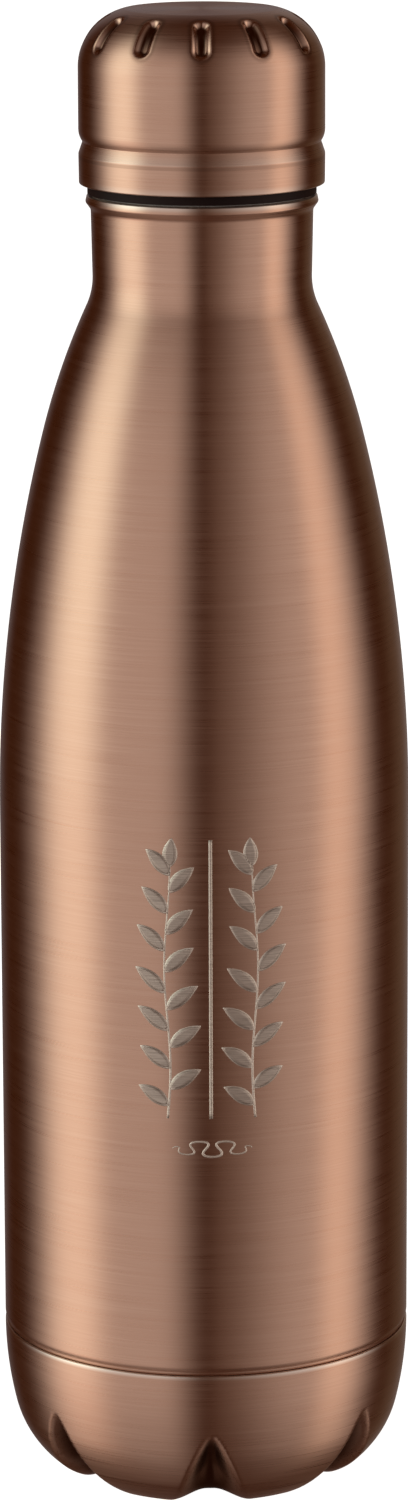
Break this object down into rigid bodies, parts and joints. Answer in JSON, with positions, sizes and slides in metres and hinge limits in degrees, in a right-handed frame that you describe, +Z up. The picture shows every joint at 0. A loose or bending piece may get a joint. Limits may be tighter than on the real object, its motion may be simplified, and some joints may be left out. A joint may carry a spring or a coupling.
{
  "type": "insulated drinking bottle",
  "caption": "Double-walled drinking bottle with a swept shoulder, short neck, fluted screw cap and petal-shaped base.",
  "frame": {"origin": "on the bottle's axis, in the plane that its feet stand on", "axes": "+Z up along the bottle's axis; the decorated front faces -Y"},
  "size_m": [0.071, 0.071, 0.2575],
  "materials": {
    "copper_shell": "stainless steel with a copper-coloured coating, brushed round the axis",
    "cap_copper": "stainless steel with a copper-coloured coating, brushed round the axis, polished flutes",
    "flask_steel": "bare stainless steel, satin inside",
    "bare_steel": "bare stainless steel, as pressed",
    "copper_foil": "thin copper foil, bright",
    "solder": "glass solder, fused",
    "getter_metal": "pressed powder",
    "silicone": "dark food-grade silicone, matt",
    "black_plastic": "moulded polypropylene, satin",
    "foam": "rigid insulation foam"
  },
  "bodies": {
    "bottle": {"outer_shell": "copper_shell", "inner_flask": "flask_steel", "flask_bottom": "flask_steel", "shell_bottom": "bare_steel", "port_solder": "solder", "getter": "getter_metal", "getter_clip": "bare_steel", "copper_foil": "copper_foil", "petal_base": "copper_shell"},
    "seal": {"seal_ring": "silicone"},
    "cap": {"cap_shell": "cap_copper", "cap_core": "black_plastic", "plug_end": "black_plastic", "cap_foam": "foam", "core_cover": "black_plastic"}
  },
  "joints": [
    {"name": "cap_lift", "type": "slide", "parent": "bottle", "child": "seal", "axis": [0, 0, 1], "range_m": [0, 0.0361]},
    {"name": "cap_turn", "type": "hinge", "parent": "seal", "child": "cap", "pos_m": [0, 0, 0.2275], "axis": [0, 0, 1], "range_deg": [0, 3240]}
  ],
  "couplings": [
    {"joint": "cap_lift", "follows": "cap_turn", "m_per_rad": 0.00063662}
  ]
}
